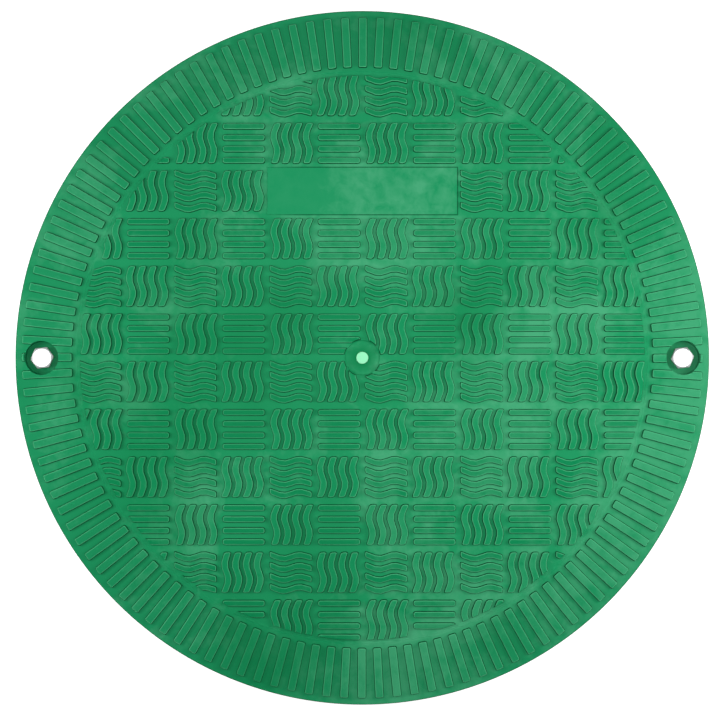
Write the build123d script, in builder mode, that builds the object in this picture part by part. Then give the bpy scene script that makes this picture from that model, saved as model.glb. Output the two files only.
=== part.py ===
from build123d import *
from math import hypot
import os

# A round plastic manhole cover with a raised tread and two hold-down bolts.
# It lies as it is used, tread upwards: Z = 0 is the lower edge of its spigot,
# and the Z axis is the middle of the disc.

# The disc and its rim
cover_diameter = 450.0
plate_thickness = 6.0
rim_wall = 7.5
flange_depth = 18.0  # from the floor of the tread down to the seat on the frame

# The spigot, which drops into the riser pipe
riser_bore = 350.0
spigot_clearance = 2.0
spigot_wall = 3.5
spigot_depth = 28.0  # below the seat
spigot_shoulder = 1.0  # how much further out the wall lies above the seat

# The ribs under the disc. Every other one runs on to the hub and out to the rim
rib_thickness = 3.5
rib_count = 24
hub_diameter = 20.0
ring_rib_radius = 62.0

# The bolts and their pockets
bolt_inset = 17.0  # from the rim of the disc to the middle of each bolt
bolt_diameter = 8.0
bolt_length = 35.0
head_across_flats = 13.0
head_height = 5.3
head_bevel = 0.6
head_turn = 6.7  # degrees between a corner of the hexagon and the line of the bolts
pocket_diameter = 21.8
pocket_depth = 6.5
pocket_wall = 3.5
shank_clearance = 1.25  # wide, so that the bolts find their threads in any frame

# The tread: tiles of four bars each, inside a round field
tread_height = 2.2
field_radius = 183.9
tile_pitch = 30.9
bars_per_tile = 4
upright_bar_length = 26.4
upright_bar_width = 4.6
level_bar_length = 27.4
level_wave_width = 4.1
straight_bar_width = 4.0
wave_bar_pitch = 6.95
straight_bar_pitch = 7.35

# A wavy bar swings to one side and then to the other. Its head and its tail
# point back past the middle line, and its two bulges lie early or late in the tile.
wave_sway = 1.25
bulge_spacing = 9.95
early_lead = -0.35
early_head = 0.85
early_tail = 1.35
late_lead = 0.5
late_head = 1.7
late_tail = 0.7

# The ring of bars round the field
ring_bar_count = 120
ring_bar_width = 4.9
ring_inner_radius = 188.4
ring_outer_radius = 220.3

# The plain panel in the tread, counted in tiles
panel_height = 0.4
panel_margin = 0.3
panel_columns = (-2, -1, 0, 1)
panel_row = 3

# The mark of the moulding gate, in a shallow dish at the centre
dish_diameter = 22.6
dish_depth = 0.8
gate_diameter = 7.8
gate_height = 0.5

# Levels and radii that follow from these
cover_radius = cover_diameter / 2
seat_level = spigot_depth
floor_level = seat_level + flange_depth
plate_underside = floor_level - plate_thickness
spigot_radius = riser_bore / 2 - spigot_clearance
pocket_floor = floor_level - pocket_depth
bolt_places = [(bolt_inset - cover_radius, 0), (cover_radius - bolt_inset, 0)]


def wave_outline(length, width, lead, head, tail):
    """The corners of one wavy bar, which runs down the page through two bulges.

    Straight runs from bulge to bulge stay within 0.3 mm of the smooth wave.
    """
    knots = [
        (head, length / 2),
        (-wave_sway, bulge_spacing / 2 - lead),
        (wave_sway, -bulge_spacing / 2 - lead),
        (-tail, -length / 2),
    ]
    left_side = [(sway - width / 2, run) for sway, run in knots]
    right_side = [(sway + width / 2, run) for sway, run in knots]
    return left_side + right_side[::-1]


def straight_outline(length, width):
    """The corners of one straight bar, which runs down the page."""
    return [
        (-width / 2, length / 2),
        (-width / 2, -length / 2),
        (width / 2, -length / 2),
        (width / 2, length / 2),
    ]


early_bar = wave_outline(upright_bar_length, upright_bar_width, early_lead, early_head, early_tail)
late_bar = wave_outline(upright_bar_length, upright_bar_width, late_lead, late_head, late_tail)
level_bar = wave_outline(level_bar_length, level_wave_width, late_lead, late_head, late_tail)
straight_bar = straight_outline(level_bar_length, straight_bar_width)


def tile_places(upright, odd_row):
    """The middles of the tiles of one kind that lie whole inside the field.

    Tiles with upright waves alternate with level ones, and the level tiles are
    wavy in one row and straight in the next. The panel takes the place of a few.
    """
    reach = int(field_radius // tile_pitch) + 1
    places = []
    for column in range(-reach, reach):
        for row in range(-reach, reach):
            furthest = hypot(max(column + 1, -column), max(row + 1, -row)) * tile_pitch
            on_panel = row == panel_row and column in panel_columns
            is_this_kind = (column + row) % 2 != upright and row % 2 == odd_row
            if is_this_kind and furthest < field_radius and not on_panel:
                places.append((tile_pitch * (column + 0.5), tile_pitch * (row + 0.5)))
    return places


# For each kind of tile: its bar, whether the bars stand upright, whether it
# fills the odd rows, and how far apart its bars are
tile_kinds = [
    (early_bar, True, True, wave_bar_pitch),
    (late_bar, True, False, wave_bar_pitch),
    (level_bar, False, True, wave_bar_pitch),
    (straight_bar, False, False, straight_bar_pitch),
]

# The tread as one flat drawing: the tiles, less the dish at the centre, and the
# ring of bars, less the bolt pockets
with BuildSketch(Plane.XY.offset(floor_level)) as tile_drawing:
    for outline, upright, odd_row, pitch in tile_kinds:
        with BuildSketch() as one_bar:
            with BuildLine():
                Polyline(*outline, close=True)
            make_face()
        with BuildSketch() as tile:
            with GridLocations(pitch, pitch, bars_per_tile, 1):
                add(one_bar.sketch)
        turn = 0 if upright else 90
        with Locations(*[Location((x, y, 0), (0, 0, turn)) for x, y in tile_places(upright, odd_row)]):
            add(tile.sketch)
    Circle(dish_diameter / 2, mode=Mode.SUBTRACT)

with BuildSketch(Plane.XY.offset(floor_level)) as ring_drawing:
    with PolarLocations((ring_inner_radius + ring_outer_radius) / 2, ring_bar_count):
        Rectangle(ring_outer_radius - ring_inner_radius, ring_bar_width)
    with Locations(*bolt_places):
        Circle(pocket_diameter / 2, mode=Mode.SUBTRACT)

# The cover, moulded in one piece
with BuildPart() as cover:
    # The plate
    with BuildSketch(Plane.XY.offset(seat_level)):
        Circle(cover_radius)
    extrude(amount=flange_depth)

    # The hollow under the flange, inside the rim wall. Its side is flat from rib to rib
    with BuildSketch(Plane.XY.offset(seat_level)):
        RegularPolygon(cover_radius - rim_wall, rib_count)
    extrude(amount=plate_underside - seat_level, mode=Mode.SUBTRACT)

    # Under the flange: the shoulder of the spigot, the ribs, and the bosses that hold the bolts
    with BuildSketch(Plane.XY.offset(seat_level)):
        RegularPolygon(spigot_radius + spigot_shoulder, rib_count, major_radius=False)
        Circle(spigot_radius - spigot_wall / 2, mode=Mode.SUBTRACT)
        flange_rib_length = cover_radius - rim_wall / 2 - spigot_radius
        with PolarLocations(spigot_radius + flange_rib_length / 2, rib_count // 2):
            Rectangle(flange_rib_length + rib_thickness, rib_thickness)
        with Locations(*bolt_places):
            Circle(pocket_diameter / 2 + pocket_wall)
        Circle(cover_radius - rim_wall / 2, mode=Mode.INTERSECT)
    extrude(amount=plate_underside - seat_level)

    # The spigot, with the web of ribs inside it
    with BuildSketch():
        Circle(spigot_radius)
        RegularPolygon(spigot_radius - spigot_wall, rib_count, mode=Mode.SUBTRACT)
        RegularPolygon(ring_rib_radius + rib_thickness / 2, rib_count)
        RegularPolygon(ring_rib_radius - rib_thickness / 2, rib_count, mode=Mode.SUBTRACT)
        Circle(hub_diameter / 2)
        outer_rib_length = spigot_radius - spigot_wall / 2 - ring_rib_radius
        with PolarLocations(ring_rib_radius + outer_rib_length / 2, rib_count):
            Rectangle(outer_rib_length, rib_thickness)
        with PolarLocations(ring_rib_radius / 2, rib_count // 2):
            Rectangle(ring_rib_radius, rib_thickness)
    extrude(amount=plate_underside)

    # The bolt pockets and their shank holes
    with Locations(*[(x, y, floor_level) for x, y in bolt_places]):
        CounterBoreHole(
            radius=bolt_diameter / 2 + shank_clearance,
            counter_bore_radius=pocket_diameter / 2,
            counter_bore_depth=pocket_depth,
        )

    # The dish with the gate mark in it
    with BuildSketch(Plane.XY.offset(floor_level)):
        Circle(dish_diameter / 2)
        Circle(gate_diameter / 2, mode=Mode.SUBTRACT)
    extrude(amount=-dish_depth, mode=Mode.SUBTRACT)
    with BuildSketch(Plane.XY.offset(floor_level)):
        Circle(gate_diameter / 2)
    extrude(amount=gate_height - dish_depth, mode=Mode.SUBTRACT)

    # The plain panel
    with BuildSketch(Plane.XY.offset(floor_level)):
        panel_middle = sum(panel_columns) / len(panel_columns) + 0.5
        with Locations((tile_pitch * panel_middle, tile_pitch * (panel_row + 0.5))):
            Rectangle(tile_pitch * len(panel_columns) - panel_margin, tile_pitch - panel_margin)
    extrude(amount=panel_height)

    # The tread
    tread = tile_drawing.sketch.faces() + ring_drawing.sketch.faces()
    extrude(tread, amount=tread_height)

cover.part.label = "cover"

os.makedirs("parts", exist_ok=True)
export_step(cover.part, "parts/cover.step", write_pcurves=False)

# A hexagon bolt, standing in its pocket on the Z axis
with BuildPart() as bolt:
    with BuildSketch(Plane.XY.offset(pocket_floor)):
        RegularPolygon(head_across_flats / 2, 6, major_radius=False, rotation=head_turn)
    extrude(amount=head_height)
    chamfer(bolt.edges().group_by(Axis.Z)[-1], head_bevel)
    with BuildSketch(Plane.XY.offset(pocket_floor)):
        Circle(bolt_diameter / 2)
    extrude(amount=-bolt_length)

# The same bolt in each pocket, with its head resting on the pocket's floor
for side, place in zip(("left", "right"), bolt_places):
    with BuildPart() as placed_bolt:
        with Locations(place):
            add(bolt.part)
    placed_bolt.part.label = f"bolt_{side}"
    export_step(placed_bolt.part, f"parts/bolt_{side}.step", write_pcurves=False)
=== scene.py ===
# %% [markdown]
# # A round plastic manhole cover
# The cover is one moulding in green plastic, 450 mm across, held down by two
# steel bolts. The CAD model gives every size and place. Here the same pieces get
# the looks: the drafted, rounded bars of the tread, the bars that the round edge
# of the tread cuts short, the bolts' threads, and the finishes.
#
# First the frame is loaded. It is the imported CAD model, in metres, with the Z axis
# through the middle of the disc and Z = 0 at the lower edge of the spigot.

# %% The frame
from math import cos, hypot, pi, radians, sin, tau

import bmesh
import bpy
from mathutils import Matrix, Vector


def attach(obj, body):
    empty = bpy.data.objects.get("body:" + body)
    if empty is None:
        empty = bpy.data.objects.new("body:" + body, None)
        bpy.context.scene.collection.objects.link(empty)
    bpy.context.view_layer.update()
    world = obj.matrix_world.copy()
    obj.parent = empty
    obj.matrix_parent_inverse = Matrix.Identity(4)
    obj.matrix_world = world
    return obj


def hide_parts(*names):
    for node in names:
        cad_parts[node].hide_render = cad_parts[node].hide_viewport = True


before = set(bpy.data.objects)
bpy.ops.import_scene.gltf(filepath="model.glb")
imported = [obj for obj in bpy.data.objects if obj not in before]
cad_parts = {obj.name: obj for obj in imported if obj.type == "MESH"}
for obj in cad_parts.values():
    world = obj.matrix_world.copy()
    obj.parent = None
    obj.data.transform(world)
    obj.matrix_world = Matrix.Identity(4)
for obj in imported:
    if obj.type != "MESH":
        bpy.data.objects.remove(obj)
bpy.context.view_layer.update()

# %% [markdown]
# ## The sizes
# They are the same as in the CAD model, in millimetres times a named unit, so that
# a new piece lands where the solid is with no fitting. A few follow the photo more
# closely than the solids do: the bars of the ring are 0.5 mm wider, 0.6 mm longer and
# turned a little, and the round edge of the field cuts its bars short 0.8 mm further
# in.

# %% The sizes
mm = 0.001

cover_radius = 225 * mm
seat_level = 28 * mm
floor_level = 46 * mm
plate_underside = 40 * mm
rim_wall = 7.5 * mm
spigot_radius = 173 * mm
spigot_wall = 3.5 * mm
shoulder_radius = 174.3 * mm
rib_thickness = 3.5 * mm
rib_count = 24
hub_radius = 10 * mm
ring_rib_radius = 62 * mm

bolt_place = 208 * mm
bolt_radius = 4 * mm
bolt_length = 35 * mm
head_across_flats = 13 * mm
head_height = 5.3 * mm
head_turn = radians(6.7)
pocket_radius = 10.9 * mm
pocket_floor = 39.5 * mm
boss_radius = pocket_radius + 3.5 * mm
hole_radius = 5.25 * mm

tread_height = 2.2 * mm
field_radius = 183.9 * mm
trim_radius = field_radius - 0.8 * mm
tile_pitch = 30.9 * mm
upright_length, level_length = 26.4 * mm, 27.4 * mm
upright_width, level_width, straight_width = 4.6 * mm, 4.1 * mm, 4.0 * mm
wave_pitch, straight_pitch = 6.95 * mm, 7.35 * mm

ring_start, ring_end = 188.1 * mm, 220.6 * mm
ring_bar_width = 5.4 * mm
ring_bar_count = 120
ring_turn = radians(-0.09)

panel_columns, panel_row = (-2, -1, 0, 1), 3
panel_half_length = 2 * tile_pitch
panel_middle = 3.5 * tile_pitch
panel_height = 0.4 * mm
panel_margin = 0.3 * mm

dish_radius = 11.3 * mm
dish_depth = 0.8 * mm
gate_radius = 3.9 * mm
gate_height = 0.5 * mm

# %% [markdown]
# ## Camera
# The photo looks straight down. All round the ring, the ends of the bars that face
# the middle show a little more of their wall than those that face away, so the
# camera stands 1.35 m above the tread. Its lens is set so that the disc is as wide
# in the frame as it is in the photo.

# %% Camera
image_width, image_height = 720, 725
disc_radius_px = 347.0
disc_middle_px = Vector((362.3, 357.8))
camera_height = 1.35

pixel = cover_radius / disc_radius_px
camera_data = bpy.data.cameras.new("camera")
camera_data.sensor_width = 36
camera_data.lens = camera_data.sensor_width * camera_height / (image_height * pixel)
camera_data.clip_start = 0.05
camera = bpy.data.objects.new("camera", camera_data)
bpy.context.scene.collection.objects.link(camera)
camera.location = (
    (image_width / 2 - disc_middle_px.x) * pixel,
    (disc_middle_px.y - image_height / 2) * pixel,
    floor_level + camera_height,
)
bpy.context.scene.camera = camera
bpy.context.scene.view_settings.view_transform = "Standard"
print("the lens is", round(camera_data.lens, 1), "mm")

# %% [markdown]
# ## Light
# A gridded lamp hangs over the disc, so its light fades towards the rim. A small
# one stands close by on each side, because in each half of the photo the bars throw
# their shadows away from the nearer side. The right one is the stronger. The world
# is white for the camera and for reflections, and dim as a light.


# %% Light
def seen_directly(tree):
    """1 for rays from the camera, from a shiny face and through glass, and 0 for the others."""
    rays = tree.nodes.new("ShaderNodeLightPath")
    seen = rays.outputs["Is Camera Ray"]
    for kind in ("Is Glossy Ray", "Is Transmission Ray"):
        either = tree.nodes.new("ShaderNodeMath")
        either.operation = "MAXIMUM"
        tree.links.new(seen, either.inputs[0])
        tree.links.new(rays.outputs[kind], either.inputs[1])
        seen = either.outputs[0]
    return seen


scene = bpy.context.scene
world = bpy.data.worlds.new("studio")
scene.world = world
world.use_nodes = True
sky = world.node_tree
background = sky.nodes["Background"]
strength = sky.nodes.new("ShaderNodeMapRange")
strength.inputs["To Min"].default_value = 0.14
strength.inputs["To Max"].default_value = 1.0
sky.links.new(seen_directly(sky), strength.inputs["Value"])
sky.links.new(strength.outputs["Result"], background.inputs["Strength"])
background.inputs["Color"].default_value = (1, 1, 1, 1)


def soft_lamp(name, place, size, power, spread=180):
    """An area lamp that points straight down or, from the side, at the middle of the disc."""
    data = bpy.data.lights.new(name, "AREA")
    data.shape = "DISK"
    data.size = size
    data.energy = power
    data.spread = radians(spread)
    lamp = bpy.data.objects.new(name, data)
    scene.collection.objects.link(lamp)
    lamp.location = place
    if spread == 180:
        aim = Vector((0, 0, floor_level)) - Vector(place)
        lamp.rotation_euler = aim.to_track_quat("-Z", "Y").to_euler()


soft_lamp("top_lamp", (0.04, 0.04, 1.7), 0.35, 1.17, spread=50)
soft_lamp("right_lamp", (0.5, 0.02, 0.36), 0.25, 1.45)
soft_lamp("left_lamp", (-0.5, 0.0, 0.36), 0.25, 1.2)

# %% [markdown]
# ## Floor
# The cover lies on a pale floor, on the edge of its spigot. The floor is a plain
# plane, and what the camera sees of it is lifted to white, with the shadow kept.

# %% Floor
floor_mesh = bmesh.new()
bmesh.ops.create_grid(floor_mesh, x_segments=1, y_segments=1, size=6)
floor_data = bpy.data.meshes.new("floor")
floor_mesh.to_mesh(floor_data)
floor_mesh.free()
floor = bpy.data.objects.new("floor", floor_data)
scene.collection.objects.link(floor)

pale = bpy.data.materials.new("pale_floor")
pale.use_nodes = True
tree = pale.node_tree
shader = tree.nodes["Principled BSDF"]
shader.inputs["Base Color"].default_value = (0.8, 0.8, 0.8, 1)
shader.inputs["Roughness"].default_value = 1.0
shader.inputs["Specular IOR Level"].default_value = 0.0
shader.inputs["Emission Color"].default_value = (1, 1, 1, 1)
lift = tree.nodes.new("ShaderNodeMath")
lift.operation = "MULTIPLY"
lift.inputs[1].default_value = 0.75
tree.links.new(seen_directly(tree), lift.inputs[0])
tree.links.new(lift.outputs[0], shader.inputs["Emission Strength"])
floor_data.materials.append(pale)

# %% [markdown]
# ## One bar
# Each tile of the tread has four bars. A bar starts as a flat strip, its footprint:
# a grid one cell wide, which for a wavy bar is pushed sideways along its length.
# The middle line passes through a head, two bulges and a tail, and eases from one
# to the next as a cosine does. The strip's corners are rounded while it is flat.
# A copy of it, turned over, closes the bar below. Then one inset lifts the drafted
# wall, and a second one the sloping shoulder that rubbing leaves at the edge.


# %% One bar
wall_height, wall_draft = 1.8 * mm, 0.4 * mm
shoulder = 0.55 * mm
foot_flare = 0.25 * mm
hair = 0.01 * mm


def whole(bar):
    """All the geometry of a mesh, as the operators take it."""
    return bar.verts[:] + bar.edges[:] + bar.faces[:]


def eased(start, end, run, sweep):
    """The sway at a place between two knots of the middle line."""
    share = (run - start[1]) / (end[1] - start[1])
    return start[0] + (end[0] - start[0]) * (1 - cos(sweep * share)) / (1 - cos(sweep))


def sway_at(run, knots):
    """How far to the side the middle line of a wavy bar lies at a place along it."""
    head, first_bulge, second_bulge, tail = knots
    if run > first_bulge[1]:
        return eased(first_bulge, head, run, radians(140))
    if run < second_bulge[1]:
        return eased(second_bulge, tail, run, radians(140))
    return eased(first_bulge, second_bulge, run, pi)


def round_corners(bar, size):
    """Rounds the sharp corners of a flat outline."""
    corners = [vert for vert in bar.verts if len(vert.link_edges) == 2]
    bmesh.ops.bevel(
        bar, geom=corners, offset=size, segments=3, profile=0.5, affect="VERTICES",
        clamp_overlap=True, material=-1,
    )


def make_bar(length, width, roundness, knots=None):
    """A closed bar that stands on Z = 0 round the origin and runs along Y, as a mesh.

    The roundness is the radius of its corners as a share of half its width.
    """
    bar = bmesh.new()
    bmesh.ops.create_grid(bar, x_segments=1, y_segments=8 if knots else 1, size=0.5)
    bmesh.ops.scale(bar, vec=(width + 2 * foot_flare, length + 2 * foot_flare, 1), verts=bar.verts)
    if knots:
        for vert in bar.verts:
            vert.co.x += sway_at(vert.co.y, knots)
    round_corners(bar, (width / 2 + foot_flare) * roundness)
    bmesh.ops.dissolve_faces(bar, faces=bar.faces[:])
    top = bar.faces[:]
    under = bmesh.ops.duplicate(bar, geom=whole(bar))["geom"]
    under_faces = [item for item in under if isinstance(item, bmesh.types.BMFace)]
    bmesh.ops.reverse_faces(bar, faces=under_faces)
    for inward, upward in ((wall_draft, wall_height), (shoulder, tread_height - wall_height)):
        bmesh.ops.inset_region(
            bar, faces=top, thickness=inward, depth=upward, use_boundary=True, use_even_offset=True
        )
        top_level = max(vert.co.z for vert in bar.verts) - hair
        rim = [vert for vert in bar.verts if vert.co.z > top_level]
        bmesh.ops.remove_doubles(bar, verts=rim, dist=0.3 * mm)
        top = [face for face in bar.faces if all(vert.co.z > top_level for vert in face.verts)]
    bmesh.ops.remove_doubles(bar, verts=bar.verts, dist=0.001 * mm)
    mesh = bpy.data.meshes.new("bar")
    bar.to_mesh(mesh)
    bar.free()
    return mesh


wave_sway = 1.25 * mm
half_spacing = 9.95 / 2 * mm
early_wave = (-0.35 * mm, 0.85 * mm, 1.35 * mm)
late_wave = (0.5 * mm, 1.7 * mm, 0.7 * mm)
wave_roundness, straight_roundness, ring_roundness = 0.6, 0.8, 0.42


def wave_knots(length, lead, head, tail):
    """Head, first bulge, second bulge and tail, each as sway and place along the bar."""
    return [
        (head, length / 2),
        (-wave_sway, half_spacing - lead),
        (wave_sway, -half_spacing - lead),
        (-tail, -length / 2),
    ]


early = make_bar(upright_length, upright_width, wave_roundness, wave_knots(upright_length, *early_wave))
late = make_bar(upright_length, upright_width, wave_roundness, wave_knots(upright_length, *late_wave))
level = make_bar(level_length, level_width, wave_roundness, wave_knots(level_length, *late_wave))
straight = make_bar(level_length, straight_width, straight_roundness)
print("a wavy bar has", len(early.polygons), "faces, a straight one has", len(straight.polygons))

# %% [markdown]
# ## Trimming a bar
# The tread ends at a circle, which cuts the outer bars short. Each place where the
# circle crosses the foot of a bar gets a cut along its tangent, with a plane that
# leans inwards as the other walls do, and the open end is filled. A crumb that is
# left of a bar is dropped.

# %% Trimming a bar
nearest_cuts = radians(0.7)
smallest_piece = 6 * mm**3


def trim_to_circle(bar, radius):
    """Cuts off what lies outside a circle round the Z axis."""
    crossings = []
    for edge in bar.edges:
        near, far = sorted((vert.co.copy() for vert in edge.verts), key=lambda co: co.xy.length)
        if near.xy.length < radius < far.xy.length and max(near.z, far.z) < hair:
            share = (radius - near.xy.length) / (far.xy.length - near.xy.length)
            crossing = near.lerp(far, share).normalized()
            if all(crossing.angle(other) > nearest_cuts for other in crossings):
                crossings.append(crossing)
    for outward in crossings:
        leaning = outward + Vector((0, 0, wall_draft / wall_height))
        cut = bmesh.ops.bisect_plane(
            bar, geom=whole(bar), plane_co=outward * radius, plane_no=leaning.normalized(),
            clear_outer=True,
        )["geom_cut"]
        rim = [item for item in cut if isinstance(item, bmesh.types.BMEdge)]
        if rim:
            bmesh.ops.edgeloop_fill(bar, edges=rim)


def pour(shape, into):
    """Moves all the geometry of one shape into another."""
    mesh = bpy.data.meshes.new("poured")
    shape.to_mesh(mesh)
    shape.free()
    into.from_mesh(mesh)
    bpy.data.meshes.remove(mesh)


def add_mesh(shape, mesh, place):
    """Adds a copy of a mesh at a place."""
    copy = mesh.copy()
    copy.transform(place)
    shape.from_mesh(copy)
    bpy.data.meshes.remove(copy)


def add_trimmed(shape, mesh, place, radius):
    """Adds a bar at a place, cut short where it leaves a circle round the Z axis."""
    bar = bmesh.new()
    add_mesh(bar, mesh, place)
    reach = [vert.co.xy.length for vert in bar.verts]
    if min(reach) < radius:
        if max(reach) > radius:
            trim_to_circle(bar, radius)
        if bar.faces and bar.calc_volume() > smallest_piece:
            pour(bar, shape)
            return
    bar.free()


# %% [markdown]
# ## The tiles
# Tiles of upright waves alternate with level ones, as on a chess board. The level
# tiles are wavy in one row and straight in the next, and the upright waves swing
# early in one row and late in the next. A plain panel takes the place of four.
# The bars near the dish are kept apart, because the dish takes bites out of them.

# %% The tiles
tread, near_dish = bmesh.new(), bmesh.new()
for column in range(-7, 7):
    for row in range(-7, 7):
        if row == panel_row and column in panel_columns:
            continue
        upright, odd_row = (column + row) % 2 == 0, row % 2 == 1
        mesh, pitch, shift, along = {
            (True, True): (early, wave_pitch, -0.3 * mm, 0),
            (True, False): (late, wave_pitch, 0.5 * mm, 0),
            (False, True): (level, wave_pitch, -0.3 * mm, 0),
            (False, False): (straight, straight_pitch, -0.1 * mm, -0.45 * mm),
        }[upright, odd_row]
        middle = Vector((column + 0.5, row + 0.5, 0)) * tile_pitch
        turn = Matrix.Identity(4) if upright else Matrix.Rotation(pi / 2, 4, "Z")
        for step in (-1.5, -0.5, 0.5, 1.5):
            in_tile = Matrix.Translation((step * pitch + shift, along, 0))
            place = Matrix.Translation(middle) @ turn @ in_tile
            if middle.length < tile_pitch:
                add_mesh(near_dish, mesh, place)
            else:
                add_trimmed(tread, mesh, place, trim_radius)
print("the tiles have", len(tread.faces), "faces")

# %% [markdown]
# ## The ring of bars
# Outside a smooth band, 120 straight bars stand like the rays of a sun. The two
# bolt pockets bite into the ones beside them, so those are kept apart as well.

# %% The ring of bars
ray = make_bar(ring_end - ring_start, ring_bar_width, ring_roundness)
away = Matrix.Translation(((ring_start + ring_end) / 2, 0, 0)) @ Matrix.Rotation(pi / 2, 4, "Z")
near_pockets = bmesh.new()
for number in range(ring_bar_count):
    angle = tau / ring_bar_count * number + ring_turn
    beside_pocket = abs(sin(angle)) < sin(radians(7))
    add_mesh(near_pockets if beside_pocket else tread, ray, Matrix.Rotation(angle, 4, "Z") @ away)
print("with the ring the tread has", len(tread.faces), "faces")

# %% [markdown]
# ## The disc
# The disc, its rim and its spigot are round, so one outline is spun about the Z
# axis. The outline goes from the gate mark at the centre over the dish, the floor
# of the tread and the rim, down to the seat, into the hollow of the flange, round
# the spigot and back to the centre underneath. A fine line stands up round the
# field, where an insert of the mould ends. The walls that the solids keep flat from
# rib to rib are round here. The sharp rings are bevelled after.


# %% The disc
def spun(outline, steps, middle=Vector((0, 0, 0))):
    """A shape spun from half its outline, which ends on the axis or closes itself."""
    shape = bmesh.new()
    verts = [shape.verts.new((radius, 0, level)) for radius, level in outline]
    for first, second in zip(verts, verts[1:]):
        shape.edges.new((first, second))
    if outline[0][0] > 0:
        shape.edges.new((verts[-1], verts[0]))
    bmesh.ops.spin(
        shape, geom=whole(shape), cent=(0, 0, 0), axis=(0, 0, 1), dvec=(0, 0, 0),
        angle=tau, steps=steps, use_merge=True, use_duplicate=False,
    )
    bmesh.ops.remove_doubles(shape, verts=shape.verts, dist=0.0005 * mm)
    bmesh.ops.recalc_face_normals(shape, faces=shape.faces)
    bmesh.ops.translate(shape, vec=middle, verts=shape.verts)
    return shape


def bevel_ring(shape, radius, level, size, segments=3):
    """Rounds the ring of edges at a radius and a level."""
    def on_ring(vert):
        return abs(hypot(vert.co.x, vert.co.y) - radius) < hair and abs(vert.co.z - level) < hair

    ring = [edge for edge in shape.edges if all(on_ring(vert) for vert in edge.verts)]
    bmesh.ops.bevel(
        shape, geom=ring, offset=size, segments=segments, profile=0.5, affect="EDGES",
        clamp_overlap=True, material=-1,
    )


dish_floor = floor_level - dish_depth
gate_top = dish_floor + gate_height
flange_inside = cover_radius - rim_wall
witness = 184.9 * mm
witness_height = 0.25 * mm
disc = spun([
    (0, gate_top),
    (gate_radius, gate_top),
    (gate_radius, dish_floor),
    (dish_radius - 0.4 * mm, dish_floor),
    (dish_radius + 0.1 * mm, floor_level),
    (witness - 0.5 * mm, floor_level),
    (witness, floor_level + witness_height),
    (witness + 0.5 * mm, floor_level + witness_height),
    (witness + 1.0 * mm, floor_level),
    (cover_radius, floor_level),
    (cover_radius, seat_level),
    (flange_inside, seat_level),
    (flange_inside, plate_underside),
    (shoulder_radius, plate_underside),
    (shoulder_radius, seat_level),
    (spigot_radius, seat_level),
    (spigot_radius, 0),
    (spigot_radius - spigot_wall, 0),
    (spigot_radius - spigot_wall, plate_underside),
    (0, plate_underside),
], steps=240)
bevel_ring(disc, cover_radius, floor_level, 0.5 * mm)
bevel_ring(disc, cover_radius, seat_level, 0.6 * mm)
bevel_ring(disc, flange_inside, seat_level, 0.5 * mm, segments=2)
bevel_ring(disc, spigot_radius, 0, 0.7 * mm, segments=2)
bevel_ring(disc, spigot_radius - spigot_wall, 0, 0.5 * mm, segments=2)
bevel_ring(disc, gate_radius, gate_top, 0.25 * mm, segments=2)
print("the disc has", len(disc.faces), "faces")

# %% [markdown]
# ## The bolt pockets
# Each bolt stands in a counterbored pocket, in a boss that reaches down to the
# seat. A boss is a spun post, and the pocket with its shank hole is a spun core,
# as the pin of a mould would be. Boolean modifiers add the one and take away the
# other, because they cross three walls of the disc at once.


# %% The bolt pockets
def make_piece(name, shape):
    """An object from a bmesh, at the origin."""
    mesh = bpy.data.meshes.new(name)
    shape.to_mesh(mesh)
    shape.free()
    piece = bpy.data.objects.new(name, mesh)
    scene.collection.objects.link(piece)
    return piece


def applied(piece):
    """A bmesh of a piece with its modifiers applied."""
    scene.view_layers[0].update()
    evaluated = piece.evaluated_get(bpy.context.evaluated_depsgraph_get())
    mesh = bpy.data.meshes.new_from_object(evaluated)
    shape = bmesh.new()
    shape.from_mesh(mesh)
    bpy.data.meshes.remove(mesh)
    return shape


def combined(piece, helpers):
    """A bmesh of a piece joined with, cut by or cut to its helpers, all of which are used up."""
    for helper, operation in helpers:
        modifier = piece.modifiers.new(helper.name, "BOOLEAN")
        modifier.operation = operation
        modifier.solver = "EXACT"
        modifier.object = helper
    shape = applied(piece)
    for used in [piece] + [helper for helper, operation in helpers]:
        bpy.data.objects.remove(used)
    return shape


pocket_corner = 0.4 * mm
pocket_lip, bitten_lip = 0.1 * mm, 0.3 * mm
well_below, well_above = seat_level - 5 * mm, floor_level + 6 * mm
boss_end = seat_level + 0.2 * mm
edge_break = 0.5 * mm
in_plate = floor_level - 2 * mm


def pocket_core(middle, lip):
    """The shape of a bolt pocket and its shank hole, wider at the lip."""
    return make_piece("core", spun([
        (0, well_below), (hole_radius, well_below), (hole_radius, pocket_floor),
        (pocket_radius - pocket_corner, pocket_floor), (pocket_radius, pocket_floor + pocket_corner),
        (pocket_radius, floor_level - pocket_lip), (pocket_radius + pocket_lip, floor_level),
        (pocket_radius + lip, well_above), (0, well_above),
    ], steps=64, middle=middle))


helpers, bites = [], []
for side in (-1, 1):
    middle = Vector((side * bolt_place, 0, 0))
    boss = make_piece("boss", spun([
        (0, boss_end), (boss_radius - edge_break, boss_end), (boss_radius, boss_end + edge_break),
        (boss_radius, in_plate), (0, in_plate),
    ], steps=64, middle=middle))
    helpers += [(boss, "UNION"), (pocket_core(middle, pocket_lip), "DIFFERENCE")]
    bites.append((pocket_core(middle, bitten_lip), "DIFFERENCE"))
body = combined(make_piece("disc", disc), helpers)
print("with its pockets the disc has", len(body.faces), "faces")

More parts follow.
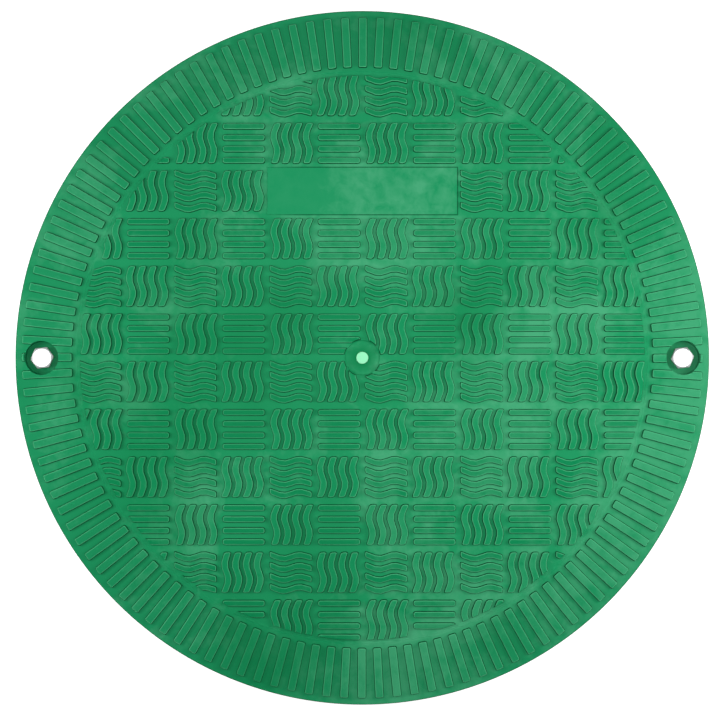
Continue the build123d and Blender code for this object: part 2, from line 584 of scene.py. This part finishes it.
dish_core = make_piece("core", spun([
    (0, in_plate), (dish_radius - 0.3 * mm, in_plate),
    (dish_radius + 1.5 * mm, floor_level + 4 * mm), (0, floor_level + 4 * mm),
], steps=64))
bmesh.ops.translate(tread, vec=(0, 0, floor_level), verts=tread.verts)
for shape, cores in ((near_dish, [(dish_core, "DIFFERENCE")]), (near_pockets, bites)):
    bmesh.ops.translate(shape, vec=(0, 0, floor_level), verts=shape.verts)
    pour(combined(make_piece("bars", shape), cores), tread)
print("the whole tread has", len(tread.faces), "faces")

# %% [markdown]
# ## The ribs
# Ribs stiffen the plate from below: 24 run from the spigot to a ring rib, every
# other one runs on to the hub, and as many brace the flange. Each is a long box,
# a little thinner at its free edge so that it leaves the mould.


# %% The ribs
sunk = 1 * mm
rib_top = plate_underside + sunk
rib_gap = 0.3 * mm
rib_bevel = 0.4 * mm
rib_taper = 0.8


def edges_between(verts):
    """The edges with both ends among some vertices."""
    found = []
    for vert in verts:
        found += [edge for edge in vert.link_edges if edge.other_vert(vert) in verts and edge not in found]
    return found


def add_rib(body, start, end, low, angle):
    """Adds a radial rib between two radii, from a level up into the plate."""
    made = bmesh.ops.create_cube(body, size=1)["verts"]
    bmesh.ops.scale(body, vec=(end - start, rib_thickness, rib_top - low), verts=made)
    bmesh.ops.translate(body, vec=((start + end) / 2, 0, (low + rib_top) / 2), verts=made)
    lower = [vert for vert in made if vert.co.z < (low + rib_top) / 2]
    bmesh.ops.scale(body, vec=(1, rib_taper, 1), verts=lower)
    bevelled = bmesh.ops.bevel(
        body, geom=edges_between(lower), offset=rib_bevel, segments=1, profile=0.5, affect="EDGES",
        clamp_overlap=True, material=-1,
    )
    rib = {vert for vert in made if vert.is_valid} | set(bevelled["verts"])
    bmesh.ops.rotate(body, cent=(0, 0, 0), matrix=Matrix.Rotation(angle, 3, "Z"), verts=list(rib))


for number in range(rib_count):
    angle = tau * number / rib_count
    add_rib(body, ring_rib_radius, spigot_radius - spigot_wall / 2, rib_gap, angle)
    if number % 2 == 0:
        add_rib(body, 0.5 * mm, ring_rib_radius, rib_gap, angle)
        meets_boss = number % (rib_count // 2) == 0
        end = bolt_place - boss_radius if meets_boss else flange_inside
        add_rib(body, spigot_radius - sunk, end + sunk, seat_level + rib_gap, angle)

ring_inside, ring_outside = ring_rib_radius - rib_thickness / 2, ring_rib_radius + rib_thickness / 2
ring_rib = spun([
    (ring_inside, rib_top), (ring_inside, rib_bevel), (ring_inside + rib_bevel, 0),
    (ring_outside - rib_bevel, 0), (ring_outside, rib_bevel), (ring_outside, rib_top),
], steps=96)
hub = spun([
    (0, 0), (hub_radius - edge_break, 0), (hub_radius, edge_break), (hub_radius, rib_top), (0, rib_top),
], steps=48)
for shape in (ring_rib, hub, tread):
    pour(shape, body)

# %% [markdown]
# ## The plain panel
# A low plate in the tread, 0.4 mm high, takes the place of four tiles. Its own insert in the mould leaves a
# fine line round it, which the material darkens with painted shade. It is a cube, pressed flat, with its
# upper edges bevelled.

# %% The plain panel
panel = bmesh.ops.create_cube(body, size=1)["verts"]
panel_low, panel_high = floor_level - 0.5 * mm, floor_level + panel_height
panel_size = (2 * panel_half_length - panel_margin, tile_pitch - panel_margin, panel_high - panel_low)
bmesh.ops.scale(body, vec=panel_size, verts=panel)
bmesh.ops.translate(body, vec=(0, panel_middle, (panel_low + panel_high) / 2), verts=panel)
upper = [vert for vert in panel if vert.co.z > floor_level]
bmesh.ops.bevel(
    body, geom=edges_between(upper), offset=0.2 * mm, segments=2, profile=0.5, affect="EDGES",
    clamp_overlap=True, material=-1,
)

cover = make_piece("cover_moulding", body)
cover.data.shade_smooth()
cover.data.set_sharp_from_angle(angle=radians(50))
weighted = cover.modifiers.new("weighted", "WEIGHTED_NORMAL")
weighted.keep_sharp = True
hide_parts("cover")
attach(cover, "root")
cover.data.calc_loop_triangles()
print("the cover has", len(cover.data.loop_triangles), "triangles")

# %% [markdown]
# ## The bolts
# A hexagon head is a six-sided post. Its top corners are turned off by a cone,
# which a Boolean modifier does as a lathe would. The thread is a V-shaped line,
# screwed along the shank.


# %% The bolts
thread_pitch = 1.25 * mm
thread_root = bolt_radius - 0.68 * mm
core_radius = bolt_radius - 0.62 * mm
neck_radius = bolt_radius - 0.1 * mm
head_top = pocket_floor + head_height
turned_radius = 5.8 * mm


def bolt_head():
    """A hexagon head on the Z axis, with its corners turned off."""
    head = bmesh.new()
    corner_radius = head_across_flats / 2 / cos(pi / 6)
    bmesh.ops.create_cone(
        head, cap_ends=True, cap_tris=False, segments=6, radius1=corner_radius, radius2=corner_radius,
        depth=head_height,
    )
    turn = Matrix.Rotation(head_turn + pi / 6, 3, "Z")
    bmesh.ops.rotate(head, cent=(0, 0, 0), matrix=turn, verts=head.verts)
    bmesh.ops.translate(head, vec=(0, 0, pocket_floor + head_height / 2), verts=head.verts)
    turned = spun([
        (0, pocket_floor - 1 * mm), (2 * corner_radius, pocket_floor - 1 * mm),
        (2 * corner_radius, head_top - 5 * mm), (turned_radius, head_top), (0, head_top),
    ], steps=72)
    return combined(make_piece("blank", head), [(make_piece("lathe", turned), "INTERSECT")])


def add_thread(shape, low, high):
    """Adds a V thread round the Z axis between two levels."""
    line = [
        shape.verts.new((thread_root, 0, low)),
        shape.verts.new((bolt_radius, 0, low + thread_pitch / 2)),
        shape.verts.new((thread_root, 0, low + thread_pitch)),
    ]
    edges = [shape.edges.new(pair) for pair in zip(line, line[1:])]
    turns = int((high - low) / thread_pitch) - 1
    steps = 28
    bmesh.ops.spin(
        shape, geom=line + edges, cent=(0, 0, 0), axis=(0, 0, 1),
        dvec=(0, 0, thread_pitch / steps), angle=tau * turns, steps=steps * turns, use_duplicate=False,
    )


bolts = []
shank_end = pocket_floor - bolt_length
for side, name in ((-1, "bolt_left"), (1, "bolt_right")):
    bolt = bolt_head()
    shank = spun([
        (0, shank_end), (bolt_radius - 1.0 * mm, shank_end), (core_radius, shank_end + 0.5 * mm),
        (core_radius, pocket_floor - 2 * mm), (neck_radius, pocket_floor - 1.5 * mm),
        (neck_radius, pocket_floor + 1 * mm), (0, pocket_floor + 1 * mm),
    ], steps=40)
    pour(shank, bolt)
    add_thread(bolt, shank_end + 0.4 * mm, pocket_floor - 1.7 * mm)
    bmesh.ops.remove_doubles(bolt, verts=bolt.verts, dist=0.001 * mm)
    bmesh.ops.recalc_face_normals(bolt, faces=bolt.faces)
    bmesh.ops.translate(bolt, vec=(side * bolt_place, 0, 0), verts=bolt.verts)
    piece = make_piece(name + "_turned", bolt)
    piece.data.shade_smooth()
    piece.data.set_sharp_from_angle(angle=radians(28))
    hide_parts(name)
    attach(piece, "root")
    bolts.append(piece)
bolts[0].data.calc_loop_triangles()
print("a bolt has", len(bolts[0].data.loop_triangles), "triangles")

# %% [markdown]
# ## A helper for materials
# A material is a tree of shader nodes. This class adds a node in one line, and has
# the sums and mixtures that come up again and again.


# %% A helper for materials
class Nodes:
    """A short way to add nodes to a material and join them."""

    def __init__(self, name):
        self.material = bpy.data.materials.new(name)
        self.material.use_nodes = True
        self.tree = self.material.node_tree
        self.shader = self.tree.nodes["Principled BSDF"]

    def set(self, socket, value):
        """Links a socket to another, or sets it to a value."""
        if isinstance(value, bpy.types.NodeSocket):
            self.tree.links.new(value, socket)
        else:
            socket.default_value = value

    def add(self, kind, settings=None, **inputs):
        """Adds a node with its settings. An input is given by its name, or by its number after _."""
        node = self.tree.nodes.new("ShaderNode" + kind)
        for key, value in (settings or {}).items():
            setattr(node, key, value)
        for key, value in inputs.items():
            self.set(node.inputs[int(key[1:]) if key[1:].isdigit() else key.replace("_", " ")], value)
        return node

    def mix(self, share, first, second):
        """Mixes two colours."""
        node = self.add("Mix", {"data_type": "RGBA"}, _0=share, _6=first, _7=second)
        return node.outputs[2]

    def maths(self, operation, *values):
        """The result of an operation on one, two or three values."""
        inputs = {f"_{number}": value for number, value in enumerate(values)}
        return self.add("Math", {"operation": operation}, **inputs).outputs[0]

    def times(self, *values):
        """The product of some values."""
        product = values[0]
        for value in values[1:]:
            product = self.maths("MULTIPLY", product, value)
        return product

    def away_from(self, value, middle):
        """How far a value lies from another."""
        return self.maths("ABSOLUTE", self.maths("SUBTRACT", value, middle))

    def band(self, value, low, high, start=0.0, end=1.0):
        """Maps a range of a value to another, with the ends held."""
        node = self.add(
            "MapRange", {"clamp": True}, Value=value, From_Min=low, From_Max=high, To_Min=start, To_Max=end
        )
        return node.outputs["Result"]

    def length(self, across, along):
        """The distance from the axis of a place in the plane."""
        flat = self.add("CombineXYZ", X=across, Y=along).outputs[0]
        return self.add("VectorMath", {"operation": "LENGTH"}, _0=flat).outputs["Value"]


# %% [markdown]
# ## Green plastic
# The moulding is green all through, but it isn't one green. The height above the floor and the slope of the
# surface tell the shader where it is: on the floor, on the top of a bar, on its drafted wall, which gets
# painted shade and is darkest, or on its rounded edge, which gets a painted highlight and is palest. The
# tops of level bars are darker than those of upright ones, so a chess pattern picks between two greens. The
# ring has one green for its bars and for the floor between them. Noise on the object's own coordinates lays
# patches of pale bloom over all of it, and a painted sheen adds more of them towards +X, where the right
# lamp stands.

# %% Green plastic
floor_green = (0.011, 0.285, 0.108, 1)
top_green = (0.005, 0.262, 0.094, 1)
level_green = (0.002, 0.230, 0.079, 1)
painted_highlight_green = (0.075, 0.440, 0.210, 1)
ring_green = (0.011, 0.268, 0.102, 1)
painted_shade_green = (0.0003, 0.075, 0.024, 1)
pale_bloom_and_sheen = (0.085, 0.420, 0.215, 1)
deep_green = (0.001, 0.200, 0.062, 1)
painted_glint_mint = (0.31, 0.88, 0.51, 1)

green = Nodes("green_plastic")
place = green.add("TexCoord").outputs["Object"]
across, along, height = green.add("SeparateXYZ", Vector=place).outputs
facing = green.add("SeparateXYZ", Vector=green.add("TexCoord").outputs["Normal"]).outputs["Z"]
from_axis = green.length(across, along)

wall_top, tread_top, blur = floor_level + wall_height, floor_level + tread_height, 0.04 * mm
above_floor = green.band(height, floor_level + 0.05 * mm, floor_level + 0.3 * mm)
steep = green.band(facing, 0.55, 0.35)
below_edge = green.band(height, wall_top + blur, wall_top - blur)
above_wall = green.band(height, wall_top - blur, wall_top + blur)
below_top = green.band(height, tread_top - hair, tread_top - 5 * hair)
on_top = green.band(height, floor_level + 1.7 * mm, floor_level + 2.1 * mm)
in_ring = green.band(from_axis, 186 * mm, 187 * mm)

patches = green.add("TexNoise", Vector=place, Scale=15.0, Detail=4.0, Roughness=0.6, Distortion=0.8)
patches = patches.outputs["Fac"]
specks = green.add("TexNoise", Vector=place, Scale=130.0, Detail=3.0, Roughness=0.6, Distortion=0.4)
specks = specks.outputs["Fac"]
weathering_and_sheen = green.maths("MULTIPLY_ADD", specks, 0.4, patches)
# painted sheen: the bloom grows towards +X, where the right lamp shines
weathering_and_sheen = green.maths("MULTIPLY_ADD", across, 0.2, weathering_and_sheen)
bloom_and_sheen = green.band(weathering_and_sheen, 0.67, 0.89, 0.0, 0.65)
faint_bloom_and_sheen = green.band(weathering_and_sheen, 0.66, 0.88, 0.0, 0.3)
ring_bloom_and_sheen = green.band(weathering_and_sheen, 0.64, 0.86, 0.0, 0.45)

flat = green.add("CombineXYZ", X=across, Y=along).outputs[0]
chess = green.add("TexChecker", Vector=flat, Scale=1 / tile_pitch, Color1=(1, 1, 1, 1), Color2=(0, 0, 0, 1))
tops = green.mix(chess.outputs["Fac"], top_green, level_green)
tops = green.mix(faint_bloom_and_sheen, tops, pale_bloom_and_sheen)
in_field = green.mix(on_top, green.mix(bloom_and_sheen, floor_green, pale_bloom_and_sheen), tops)
colour = green.mix(in_ring, in_field, green.mix(ring_bloom_and_sheen, ring_green, pale_bloom_and_sheen))
# painted highlight on the rounded edges of the bars
colour = green.mix(green.times(above_wall, below_top, 0.9), colour, painted_highlight_green)
# painted shade on the drafted walls of the bars
colour = green.mix(green.times(above_floor, steep, below_edge), colour, painted_shade_green)

shade = green.add("TexNoise", Vector=place, Scale=9.0, Detail=3.0, Roughness=0.5)
colour = green.mix(green.band(shade.outputs["Fac"], 0.52, 0.3, 0.0, 0.6), colour, deep_green)

# %% [markdown]
# ## Wear, painted shade and a painted glint
# On the panel the bloom is worn off towards -X, and its seam is faint at that end.
# Painted shade darkens the rest of the seam, the edge of the disc, the bolt pockets and the dish, and a
# painted glint makes the gate mark in the dish pale. Each mask also asks for a height, so that the
# underside stays plain green.

# %% Wear, painted shade and a painted glint
near_top = green.band(height, floor_level - 0.8 * mm, floor_level - 0.3 * mm)
topside = green.band(height, pocket_floor - 1 * mm, pocket_floor - 0.5 * mm)

# painted shade on the rounded edge of the disc
at_rim = green.band(from_axis, cover_radius - 0.7 * mm, cover_radius - 0.3 * mm, 0.0, 0.6)
colour = green.mix(green.times(at_rim, near_top), colour, painted_shade_green)

beyond_end = green.maths("SUBTRACT", green.maths("ABSOLUTE", across), panel_half_length)
beyond_side = green.maths("SUBTRACT", green.away_from(along, panel_middle), tile_pitch / 2)
off_panel = green.maths("MAXIMUM", beyond_end, beyond_side)
ragged = green.maths("MULTIPLY_ADD", specks, 0.04, across)
ragged = green.maths("SUBTRACT", ragged, 0.02)
worn_side = green.band(ragged, 10 * mm, -25 * mm, 0.0, 0.85)
worn = green.times(green.band(off_panel, 0.1 * mm, -0.3 * mm), near_top, worn_side)
colour = green.mix(worn, colour, floor_green)

# painted shade along the seam round the panel, fading towards -X
at_seam = green.band(green.maths("ABSOLUTE", off_panel), 0.5 * mm, 0.2 * mm, 0.0, 0.7)
seam_shade_fade = green.band(across, -61 * mm, -40 * mm, 0.1, 1.0)
colour = green.mix(green.times(at_seam, near_top, seam_shade_fade), colour, painted_shade_green)

beside_bolt = green.maths("SUBTRACT", green.maths("ABSOLUTE", across), bolt_place)
from_bolt = green.length(beside_bolt, along)
# painted shade in the bolt pockets
in_pocket = green.band(from_bolt, pocket_radius + 0.1 * mm, pocket_radius - 0.2 * mm, 0.0, 0.35)
colour = green.mix(green.times(in_pocket, topside), colour, painted_shade_green)

# painted shade in the dish round the gate mark
beside_gate = green.band(from_axis, gate_radius + 6.5 * mm, gate_radius + 0.5 * mm, 0.0, 0.9)
colour = green.mix(green.times(beside_gate, topside), colour, deep_green)
# painted glint on the gate mark
at_gate = green.band(from_axis, gate_radius + 0.05 * mm, gate_radius - 0.1 * mm)
colour = green.mix(green.times(at_gate, topside), colour, painted_glint_mint)

green.set(green.shader.inputs["Base Color"], colour)
green.set(green.shader.inputs["Roughness"], green.band(patches, 0.3, 0.7, 0.42, 0.6))
green.set(green.shader.inputs["Specular IOR Level"], 0.03)
grain = green.add("TexNoise", Vector=place, Scale=900.0, Detail=2.0)
bump = green.add("Bump", Strength=0.12, Distance=0.0002, Height=grain.outputs["Fac"])
green.set(green.shader.inputs["Normal"], bump.outputs["Normal"])
cover.data.materials.append(green.material)

# %% [markdown]
# ## Zinc
# The bolts are steel with a bright, matt zinc coat. Its faint clouds come from noise in the colour and the
# roughness. The turned corners and the sides of the heads get a greyer colour than their faces, a painted
# reflection of the smaller share of sky they face.

# %% Zinc
painted_dim_zinc = (0.55, 0.56, 0.57, 1)
matt_zinc = (0.80, 0.81, 0.83, 1)
bright_zinc = (0.90, 0.90, 0.90, 1)

zinc = Nodes("zinc_steel")
place = zinc.add("TexCoord").outputs["Object"]
clouds = zinc.add("TexNoise", Vector=place, Scale=500.0, Detail=3.0).outputs["Fac"]
upward = zinc.add("SeparateXYZ", Vector=zinc.add("TexCoord").outputs["Normal"]).outputs["Z"]
face = zinc.mix(clouds, matt_zinc, bright_zinc)
# painted reflection: faces that tilt away from the sky get a greyer zinc
colour = zinc.mix(zinc.band(upward, 0.93, 0.99), painted_dim_zinc, face)
zinc.set(zinc.shader.inputs["Base Color"], colour)
zinc.set(zinc.shader.inputs["Roughness"], zinc.band(clouds, 0.3, 0.7, 0.32, 0.5))
zinc.set(zinc.shader.inputs["Metallic"], 0.75)
for piece in bolts:
    piece.data.materials.append(zinc.material)
